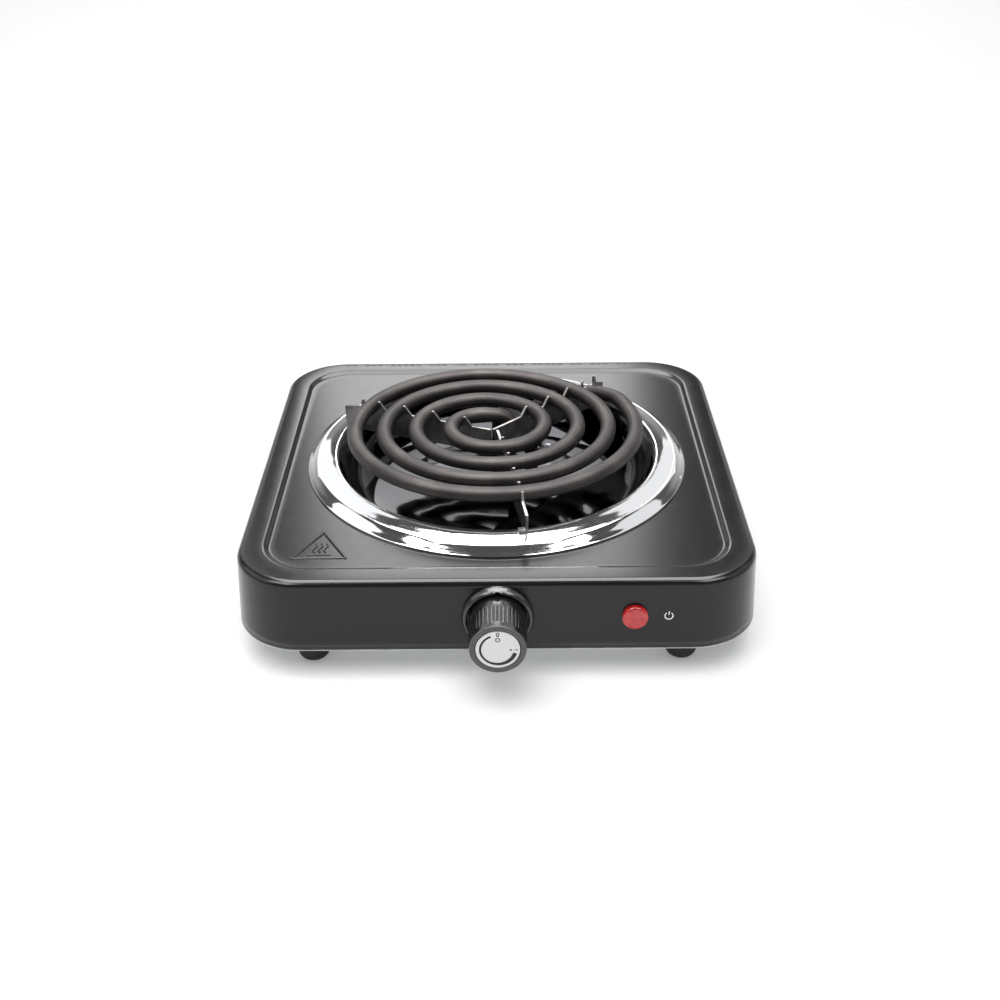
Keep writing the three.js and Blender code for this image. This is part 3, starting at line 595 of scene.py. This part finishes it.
# ---- drip bowl ----
def bowl_profile():
    """(radius, height over the border) from the panel over the rolled rim and its bead, down the wall."""
    rim = [(0, -1.5), (0, -0.95), (0.15, -0.5), (1.6, 0.6), (3.1, 1.8), (4.5, 2.8), (5.3, 3.1), (5.8, 3.05),
           (6.5, 3.2), (8.0, 3.5), (10.5, 4.0)]
    lip = [(-2.6, 4.35), (-1.5, 4.4), (-0.6, 3.8), (0, 2.5), (0.6, 0.5), (1.6, -3.2), (4, -9.2), (8, -14.5)]
    bottom = [(LIP_R - 14, 2.6), (LIP_R - 22, 0.7), (LIP_R - 32, 0), (24, 0), (0, 0)]
    points = ([(RIM_R - inwards, height) for inwards, height in rim]
              + [(LIP_R - inwards, height) for inwards, height in lip]
              + [(radius, height - BOWL_DEPTH) for radius, height in bottom])
    return smooth_line(points, 7)


def coil_leg_feet():
    """Where the coil's legs pass through the bowl, from the middle of the body."""
    path = coil_path()
    return path[0, :2], path[-1, :2]


def make_bowl():
    """The profile turned about the bowl's axis. Around each leg the grid is drawn onto a circle and cut."""
    grid = turned(bowl_profile(), (BOWL_MID[0], BOWL_MID[1], DECK), count=288)
    hole = 5.0
    flat = grid.reshape(-1, 3)
    inside = np.zeros(len(flat), bool)
    for foot in coil_leg_feet():
        away = flat[:, :2] - foot
        far = np.linalg.norm(away, axis=1)
        near = (np.abs(far - hole) < 0.75) & (flat[:, 2] < DECK - 8)
        flat[near, :2] = foot + away[near] / far[near, None] * hole
        inside |= np.linalg.norm(flat[:, :2] - foot, axis=1) < hole + 0.01
    faces, _ = quads(*grid.shape[:2], False, True)
    keep = ~inside[faces].all(1)
    surface("chrome_drip_bowl", flat.reshape(grid.shape), CHROME, "bowl_chrome", replaces=["drip_bowl"],
            keep=keep, facing=(0, 0, 1), sharp=60, wall=BOWL_SHEET)


# ---- heating coil ----
def around(azimuth, radius, height):
    """A point on the coil: its turns are drawn in a little from front to back."""
    a = np.radians(azimuth)
    shape = np.broadcast_arrays(a, radius, height)
    x, y = shape[1] * np.cos(shape[0]), 0.962 * shape[1] * np.sin(shape[0])
    return np.stack([COIL_MID[0] + x, COIL_MID[1] + y, COIL_Z + shape[2]], -1)


def coil_path():
    """A leg up from under the bowl, a level spiral and a leg down. The spiral's radius over n turns is
    r = 74.5 - 12.55 n - 0.745 n^2, with n counted from where the first leg begins to bend."""
    bend_at, level_at = 60, 22  # degrees round from the right
    before = (bend_at - level_at) / 360
    n = before + np.linspace(0, 3.811, 78)
    spiral_r = 74.5 - 12.55 * n - 0.745 * n ** 2
    start = COIL_LOW[2] - COIL_Z
    outer = around(np.array([66, 66, 65.5, 61, 53, 44, 33]),
                   np.array([55, 55, 56, 62, 68.5, 71.8, spiral_r[0] + 0.3]),
                   np.array([start, -27, -17, -10.5, -7.2, -4.4, -1.6]))
    level = around(level_at - 360 * (n - before), spiral_r, 0.0)
    x, y = COIL_MID
    inner = np.array([(x + 6.5, y + 14, -1.2), (x + 11.5, y + 15.5, -5.2), (x + 13, y + 21, -9),
                      (x + 12, y + 33, -10.5), (x + 7.5, y + 43, -13), (x + 5, y + 47.5, -20),
                      (x + 5, y + 48, -28), (x + 5, y + 48, start)]) + (0, 0, COIL_Z)
    return evenly(smooth_line(np.concatenate([outer, level, inner]), 12), 1.1)


def make_coil():
    """The path with an oval section |x/a|^2.3 + |y/b|^2.3 = 1, a little flat on top."""
    path = coil_path()
    side, up = headings(path)
    a = np.arange(28) * TAU / 28
    power = 2 / 2.3
    section = np.column_stack([COIL_WIDE * np.sign(np.cos(a)) * np.abs(np.cos(a)) ** power,
                               COIL_TALL * np.sign(np.sin(a)) * np.abs(np.sin(a)) ** power])
    surface("coil_element", swept(path, section, side, up), SHEATH, "coil_sheath",
            replaces=["heating_coil"], sharp=60)


# ---- dial ----
def make_knob():
    """Turned barrel whose radius dips by up to 0.22 (1 - |sin 20a|^0.8) along the flutes, with a dished
    face and a dark grey rim round it, a painted reflection on the black moulding. The flutes fade in
    and out as 3 t^2 - 2 t^3."""
    face, dish = KNOB_FACE, 1.0
    foot, top = 8.4, face - 1.3  # the plain barrel's ends
    taper, fade = 0.6, 1.6
    neck = 11.0  # nothing inside this radius is fluted
    line = rounded([
        (0, 17.5), (3.4, 17.5), (3.4, 4.8), (5.4, 4.8), (5.4, 18.3), (KNOB_R - 3, 18.3), (KNOB_R - 1.9, 1.3),
        (KNOB_R, 1.3), (KNOB_R, foot - 0.2)], 0.25, 4)
    barrel_h = np.linspace(foot, top, 40)
    barrel = np.column_stack([KNOB_R - taper * (barrel_h - foot) / (top - foot), barrel_h])
    end = rounded([barrel[-1], (KNOB_R - 0.62, face - 0.5), (KNOB_R - 1.15, face), (9.9, face),
                   (9.6, face - 0.25), (9.6, face - dish), (0, face - dish)], 0.3, 5)

    def fluted(r, h, angle):
        rise = np.clip((h - foot) / fade, 0, 1) * np.clip((top - 1.3 - h) / fade, 0, 1)
        soft = rise * rise * (3 - 2 * rise) * (r > neck)
        groove = 1 - np.abs(np.sin(20 * angle)) ** 0.8
        return r - 0.22 * soft * groove

    profile = np.concatenate([line, barrel, end[1:]])
    grid = turned(profile, DIAL, "y", 480, fluted)
    knob = surface("fluted_knob", grid, GLOSS, "knob_plastic", "dial", ["knob"], sharp=40)
    faces = knob.data.polygons
    centres = np.empty(len(faces) * 3, np.float32)
    faces.foreach_get("center", centres)
    x, y, z = (centres.reshape(-1, 3) / MM - DIAL).T
    # painted reflection: the flat rim round the face takes the grey colour, standing in for the reflection on
    # black plastic
    rim_reflection_faces = (-y > face - 0.7) & (np.hypot(x, z) > 9.4)
    knob.data.materials.append(PAINTED_RIM_REFLECTION)
    faces.foreach_set("material_index", rim_reflection_faces.astype(np.int32))


def make_dial_plate():
    """A thin disc with a rolled edge, set into the face of the knob."""
    face = KNOB_FACE
    line = rounded([(0, face - 0.75), (9.3, face - 0.75), (9.3, face - 0.2), (0, face - 0.2)], 0.12, 4)
    surface("silver_dial_plate", turned(line, DIAL, "y", 96), SILVER, "dial_silver", "dial", ["dial_plate"])


def flat_mark(line_a, line_b, depth):
    """A printed mark: the band between two lines of (x, z) from the dial's axis, just proud of a face that
    lies depth in front of the wall."""
    a, b = np.asarray(line_a, float), np.asarray(line_b, float)
    low, high = depth - 0.03, depth + 0.06
    layers = [np.column_stack([e[:, 0], np.full(len(e), -h), e[:, 1]]) for e, h in
              ((a, low), (a, high), (b, high), (b, low))]
    return np.stack(layers, 1)


def closed_band(grid):
    """Draws both ends of a band in to a point, so that it is closed."""
    first, last = grid[:1].mean(1, keepdims=True), grid[-1:].mean(1, keepdims=True)
    return np.concatenate([first.repeat(grid.shape[1], 1), grid, last.repeat(grid.shape[1], 1)])


def make_dial_marks():
    """An arc that widens clockwise from low to high, a small ring at off, and a dot at high."""
    face = KNOB_FACE - 0.2
    grids = []
    a = np.radians(np.linspace(113, 347, 90))
    half = 0.46 + 0.36 * np.clip((np.degrees(a) - 235) / 80, 0, 1)
    ray = np.stack([np.cos(a), np.sin(a)], -1)
    arc_r = 7.35
    grids.append(closed_band(flat_mark(ray * (arc_r - half)[:, None], ray * (arc_r + half)[:, None], face)))
    full = np.linspace(0, TAU, 33)
    circle = np.stack([np.cos(full), np.sin(full)], -1)
    grids.append(flat_mark(circle * 0.7 + (0, 5.0), circle * 1.08 + (0, 5.0), face))
    grids.append(flat_mark(circle * 0.02 + (5.4, 0), circle * 0.42 + (5.4, 0), face))
    join("dial_marks", [g + DIAL for g in grids], INK, "dial_silver", "dial")


def make_power_sign():
    """The public sign for power on the front wall, right of the lamp: a broken ring and an upright bar."""
    a = np.radians(np.linspace(125, 415, 60))
    ray = np.stack([np.cos(a), np.sin(a)], -1)
    bar = np.linspace(0.5, 2.15, 8)
    half = np.full(len(bar), 0.22)
    proud = 0.04
    marks = []
    for grid in (flat_mark(ray * 1.5, ray * 1.95, proud),
                 flat_mark(np.column_stack([-half, bar]), np.column_stack([half, bar]), proud)):
        grid = closed_band(grid)
        grid[..., 1] += grid[..., 2] * FLARE / (DECK - SKIRT)  # the wall leans
        marks.append(grid + (LENS_MID[0] + 14.6, DIAL[1], DIAL[2]))
    join("power_sign", marks, WHITE_INK, "body_paint")


def dial_digit(name, text, size, at, turn):
    """A digit set as a curve, then made a mesh on the dial plate at (x, z) from its axis."""
    curve = bpy.data.curves.new(name, "FONT")
    curve.body = text
    curve.size = size * MM
    curve.align_x = "CENTER"
    curve.align_y = "CENTER"
    curve.extrude = 0.03 * MM
    curve.offset = 0.05 * MM
    made = bpy.data.objects.new(name, curve)
    bpy.context.scene.collection.objects.link(made)
    mesh = bpy.data.meshes.new_from_object(made.evaluated_get(bpy.context.evaluated_depsgraph_get()))
    bpy.data.objects.remove(made)
    stand = Matrix.Rotation(np.pi / 2, 4, "X")
    spin = Matrix.Rotation(turn, 4, "Y")
    where = DIAL * MM + np.array([at[0], -(KNOB_FACE - 0.2 + 0.02), at[1]]) * MM
    mesh.transform(Matrix.Translation(where) @ spin @ stand)
    mesh.name = name
    mesh.materials.clear()
    place(name, mesh, INK, "dial_silver", "dial", ())


def make_bezel():
    """A ring with a sloping face; a V-shaped index is cut in the top of its inner edge."""
    inner = KNOB_R + 0.65
    outer = KNOB_R + 3.1
    line = rounded([(inner, -0.6), (outer, -0.6), (outer, 1.1), (outer - 0.8, 2.5), (outer - 1.5, 3.2),
                    (inner + 0.35, 3.2), (inner, 2.8), (inner, -0.6)], 0.3, 5)
    notch_half, notch_deep, land = 0.13, 1.7, 1.9  # radians, then millimetres

    def notched(r, h, angle):
        off = np.abs(np.angle(np.exp(1j * (angle - np.pi / 2))))
        cut = np.clip(1 - off / notch_half, 0, 1) * notch_deep
        return r + cut * np.clip((inner + land - r) / land, 0, 1) * (h > 0.4)

    surface("knob_bezel_ring", turned(line, DIAL, "y", 360, notched), GLOSS, "knob_plastic",
            replaces=["knob_bezel"], sharp=40)


# ---- lamp, feet, gland ----
def make_lens():
    """A low cap with a rolled rim and a shallow dome, and its stem behind."""
    out = DIAL[1] - LENS_LOW[1]
    dome_r, dome_drop = 4.3, 0.25
    dome = np.linspace(0, 1, 14)[:, None]
    top = np.column_stack([dome_r * dome, out - dome_drop * dome ** 2])
    rest = rounded([(dome_r, out - dome_drop), (4.75, out - 0.02), (LENS_R, out - 0.7), (LENS_R, -0.4),
                    (4.4, -0.4), (4.4, -6.5), (0, -6.5)], 0.3, 5)
    centre = (LENS_MID[0], DIAL[1], DIAL[2])
    grid = turned(np.concatenate([top, rest[1:]]), centre, "y", 96)
    surface("pilot_lens", grid, RED, "lens_red", replaces=["lamp_lens"])


def make_feet():
    """A squat bulb: rounded sole, waist at the plate, and a well for the screw."""
    for name in CORNERS:
        low, high = cad_box(f"foot_{name}")
        mid = (low + high) / 2
        tall = high[2]
        line = rounded([(0, 4.9), (3.1, 4.9), (3.1, 0.15), (3.4, 0), (4.8, 0), (6.4, 1.2), (7.2, 3.2),
                        (7.3, 6.0), (7.5, tall), (0, tall)], 0.8, 6)
        grid = turned(line, (mid[0], mid[1], 0), "z", 64)
        surface(f"rubber_foot_{name}", grid, RUBBER, "foot_rubber", replaces=[f"foot_{name}"])


def make_gland():
    """A stepped bush with rounded ends and a bore for the cord."""
    back = GLAND_HIGH[1]
    depth = back - GLAND_LOW[1]
    line = rounded([(3.3, 0), (GLAND_R - 2.0, 0), (GLAND_R - 0.3, 4.0), (GLAND_R, 4.8), (GLAND_R, 6.2),
                    (GLAND_R - 2.3, 6.2), (GLAND_R - 2.3, 7.7), (GLAND_R - 1.3, 7.7),
                    (GLAND_R - 1.3, depth), (3.3, depth), (3.3, 0)], 0.5, 5)
    grid = turned(line, (GLAND_MID[0], back, GLAND_MID[2]), "y", 96)
    surface("cord_bush", grid, NYLON, "gland_plastic", replaces=["cord_gland"])


def refined(node, material, slot, body, edge=0.15):
    """A copy of a CAD solid with its triangles merged into faces and its edges softened."""
    mesh = frame["nodes"][node].data.copy()
    mesh.materials.clear()
    bm = bmesh.new()
    bm.from_mesh(mesh)
    bmesh.ops.remove_doubles(bm, verts=bm.verts, dist=1e-3 * MM)
    bmesh.ops.dissolve_limit(bm, angle_limit=np.radians(1), verts=bm.verts, edges=bm.edges)
    bm.to_mesh(mesh)
    bm.free()
    mesh.name = f"{node}_finished"
    mesh.polygons.foreach_set("use_smooth", np.ones(len(mesh.polygons), bool))
    mesh.set_sharp_from_angle(angle=np.radians(35))
    piece = place(f"{node}_finished", mesh, material, slot, body, [node])
    soften = piece.modifiers.new("soften", "BEVEL")
    soften.width = edge * MM
    soften.segments = 2
    soften.limit_method = "ANGLE"
    soften.angle_limit = np.radians(35)
    soften.harden_normals = True
    return piece


def body_of(node):
    """The CAD body that a node belongs to."""
    return next(name for name, nodes in frame["record"]["behaviour"]["bodies"].items() if node in nodes)


REFINED = {
    "base_plate": (ZINC, "plated_steel"),
    "support_arm_front": (STRIP, "support_steel"),
    "support_arm_right": (STRIP, "support_steel"),
    "support_arm_left": (STRIP, "support_steel"),
    "foot_screw_front_left": (ZINC, "plated_steel"),
    "foot_screw_front_right": (ZINC, "plated_steel"),
    "foot_screw_rear_left": (ZINC, "plated_steel"),
    "foot_screw_rear_right": (ZINC, "plated_steel"),
}
KEPT = {
    ZINC: ["corner_tab_front_left", "corner_tab_front_right", "corner_tab_rear_left", "corner_tab_rear_right",
           "clamp_screw_1", "clamp_screw_2", "thermostat_bracket", "thermostat_shaft", "shaft_nut"],
    STRIP: ["bowl_clip_1", "bowl_clip_2", "bowl_clip_3", "coil_clamp", "lamp_clip", "bimetal_strip"],
    CERAMIC: ["terminal_block", "thermostat_stack"],
    BRASS: ["coil_terminal_1", "coil_terminal_2", "contact_spring", "contact_leaf", "adjusting_screw"],
    GLASS: ["lamp_bulb"],
    SLEEVE: ["lead_live", "lead_switched", "lead_return"],
}

make_body()
make_hot_sign()
make_border_marks()
make_bowl()
make_coil()
make_knob()
make_dial_plate()
make_dial_marks()
dial_digit("digit_off", "0", 3.0, (0.0, 7.55), 0.0)
dial_digit("digit_high", "6", 2.2, (7.5, 0.0), np.pi / 2)
make_bezel()
make_lens()
make_power_sign()
make_feet()
make_gland()
for node, (material, slot) in REFINED.items():
    refined(node, material, slot, body_of(node))
for material, nodes in KEPT.items():
    for node in nodes:
        mesh = frame["nodes"][node].data
        mesh.materials.clear()
        mesh.materials.append(material)


# ---- floor, light and camera ----
def make_floor():
    """A wide pale sheet of paper, very slightly mottled."""
    m, t, b, at = start_material("pale_paper", Roughness=0.9, Emission_Strength=0.22)
    pale = ramp(t, noise(t, at, 300, 2), [(0.3, "#f4f4f4"), (0.7, "#f7f7f7")])
    feed(t, b, "Base Color", pale)
    feed(t, b, "Emission Color", pale)
    mesh = bpy.data.meshes.new("floor")
    edge = 6.0
    corners = [(-edge, -edge, 0), (edge, -edge, 0), (edge, edge, 0), (-edge, edge, 0)]
    mesh.from_pydata(corners, [], [(0, 1, 2, 3)])
    mesh.materials.append(m)
    floor = bpy.data.objects.new("floor", mesh)
    bpy.context.scene.collection.objects.link(floor)


def softbox(name, at, aim, size, radiance, mirrored=True, lights=True):
    """A soft area light of that size in metres; radiance is what it shows in a mirror. mirrored and lights
    say whether gloss and matt surfaces see it."""
    light = bpy.data.lights.new(name, "AREA")
    light.shape = "RECTANGLE"
    light.size, light.size_y = size
    light.energy = radiance * np.pi * size[0] * size[1]
    lamp = bpy.data.objects.new(name, light)
    lamp.visible_glossy = mirrored
    lamp.visible_diffuse = lights
    back = np.array(at, float) - aim
    back /= np.linalg.norm(back)
    right = np.cross((0, 0, 1.0), back)
    right = np.array([1.0, 0, 0]) if np.linalg.norm(right) < 1e-6 else right / np.linalg.norm(right)
    up = np.cross(back, right)
    turn = Matrix(np.column_stack([right, up, back]).tolist()).to_4x4()
    lamp.matrix_world = Matrix.Translation(at) @ turn
    bpy.context.scene.collection.objects.link(lamp)


def make_light():
    world = bpy.data.worlds.new("studio")
    world.use_nodes = True
    tree = world.node_tree
    sky = add(tree, "ShaderNodeSeparateXYZ", {0: add(tree, "ShaderNodeTexCoord").outputs["Generated"]})
    grey = [(0.0, "#f0f0f0"), (0.12, "#d0d0d0"), (0.4, "#606060"), (1.0, "#505050")]
    shade = ramp(tree, sky.outputs["Z"], grey)
    tree.links.new(shade, tree.nodes["Background"].inputs[0])
    bpy.context.scene.world = world
    softbox("rear_box", (-0.04, 1.5, 0.98), (0, 0, 0.05), (0.6, 0.75), 5.0, lights=False)
    softbox("rear_side_left", (-0.83, 1.27, 0.93), (0, 0, 0.05), (0.75, 1.0), 1.2, lights=False)
    softbox("rear_side_right", (0.83, 1.27, 0.93), (0, 0, 0.05), (0.75, 1.0), 1.0, lights=False)
    softbox("top_box", (0.0, 0.25, 1.45), (0, 0, 0), (1.3, 1.3), 11.0, lights=False)
    softbox("front_box_left", (-0.8, -0.69, 1.39), (0, 0, 0), (0.9, 0.63), 8.0, lights=False)
    softbox("front_box_right", (0.8, -0.69, 1.39), (0, 0, 0), (0.9, 0.63), 8.0, lights=False)
    softbox("key_box", (-0.15, -0.5, 1.5), (0, 0, 0), (1.7, 1.3), 3.5, mirrored=False)
    softbox("back_wash", (0.0, 2.2, 1.7), (0, 1.2, 0), (2.4, 1.5), 2.6, mirrored=False)
    softbox("left_box", (-1.45, -0.1, 0.95), (0, 0, 0.05), (1.7, 0.9), 1.4, lights=False)
    softbox("right_box", (1.45, 0.0, 0.95), (0, 0, 0.05), (1.5, 0.9), 0.9, lights=False)


def make_camera():
    """Looks down by 30.6 degrees from in front; lens and place give the same perspective as the object's."""
    pitch, yaw, roll = np.radians([30.584, 0.066, -0.448])
    right = np.array([np.cos(yaw), np.sin(yaw), 0])
    ahead = np.array([-np.sin(yaw) * np.cos(pitch), np.cos(yaw) * np.cos(pitch), -np.sin(pitch)])
    up = np.cross(right, ahead)
    right, up = np.cos(roll) * right + np.sin(roll) * up, np.cos(roll) * up - np.sin(roll) * right
    data = bpy.data.cameras.new("camera")
    data.lens = 45.925
    data.sensor_width = 36
    data.clip_start, data.clip_end = 0.01, 50
    camera = bpy.data.objects.new("camera", data)
    place_at = np.array([BODY_MID[0] + 2.21, BODY_MID[1] - 560.4, DECK + 305.0]) * MM
    turn = Matrix(np.column_stack([right, up, -ahead]).tolist()).to_4x4()
    camera.matrix_world = Matrix.Translation(place_at) @ turn
    bpy.context.scene.collection.objects.link(camera)
    bpy.context.scene.camera = camera


make_floor()
make_light()
make_camera()
bpy.context.scene.view_settings.view_transform = "Standard"
